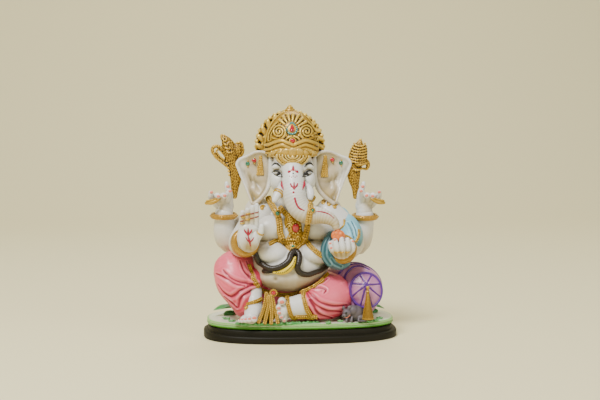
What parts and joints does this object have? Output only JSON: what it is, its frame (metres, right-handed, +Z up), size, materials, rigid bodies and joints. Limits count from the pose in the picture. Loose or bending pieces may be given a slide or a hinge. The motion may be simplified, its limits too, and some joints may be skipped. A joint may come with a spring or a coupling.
{
  "type": "ganesha idol",
  "caption": "Seated four-armed elephant-headed deity figurine of painted marble-dust resin on a stepped oval plinth, holding a sweet and two emblems.",
  "frame": {"origin": "centre of the plinth's underside", "axes": "+Z up, +X to the right of someone facing the idol, and the idol faces -Y"},
  "size_m": [0.166, 0.099, 0.198],
  "materials": {
    "plinth_black": "satin black paint over cast marble-dust resin",
    "slab_white_green": "glossy off-white with a painted green rim",
    "leaf_green": "satin green paint",
    "marble_white": "polished white marble-dust resin with sprayed tan shading",
    "gold_paint": "antiqued gold paint with ochre in the hollows",
    "cloth_pink": "satin pink paint with crimson fold lines",
    "shawl_blue": "satin light blue paint",
    "bolster_lilac": "satin lilac paint with purple seams",
    "serpent_brown": "dark brown paint with a yellow belly",
    "sweet_orange": "satin orange paint",
    "mouse_grey": "matt grey paint",
    "gem_red": "polished faceted-glass cabochon"
  },
  "bodies": {
    "root": {"plinth": "plinth_black", "lawn_slab": "slab_white_green", "torso": "marble_white", "head": "marble_white", "folded_shin": "marble_white", "raised_leg": "cloth_pink", "folded_leg": "cloth_pink", "seat_drape": "cloth_pink", "bolster": "bolster_lilac", "blessing_hand": "marble_white", "offering_hand": "marble_white", "blessing_arm": "marble_white", "offering_arm": "marble_white", "rear_arm_right": "marble_white", "rear_arm_left": "marble_white", "rear_hand_right": "marble_white", "rear_hand_left": "marble_white", "trunk": "marble_white", "tusk_right": "marble_white", "tusk_left": "marble_white", "tiara": "gold_paint", "halo": "gold_paint", "ear_right": "marble_white", "ear_left": "marble_white", "shawl_left": "shawl_blue", "shawl_back": "shawl_blue", "raised_foot": "marble_white", "folded_foot": "marble_white", "crown_finial": "gold_paint", "brow_band": "gold_paint", "brow_lace": "gold_paint", "crown_jewel": "gem_red", "crown_bead": "gem_red", "earring_right": "gold_paint", "earring_left": "gold_paint", "blessing_cuff": "gold_paint", "offering_cuff": "gold_paint", "rear_bangle_right": "gold_paint", "rear_bangle_left": "gold_paint", "axe": "gold_paint", "mace": "gold_paint", "laddu": "sweet_orange", "pendant": "gold_paint", "necklace": "gold_paint", "long_chain": "gold_paint", "pendant_gem": "gem_red", "chest_band_right": "gold_paint", "chest_band_left": "gold_paint", "naga_belt": "serpent_brown", "waist_belt": "gold_paint", "belt_buckle": "gem_red", "pleat_fall": "gold_paint", "raised_anklet": "gold_paint", "folded_anklet": "gold_paint", "folded_hem": "gold_paint", "bolster_tassel": "gold_paint", "mouse": "mouse_grey", "leaf_right": "leaf_green", "leaf_left": "leaf_green"}
  },
  "joints": []
}
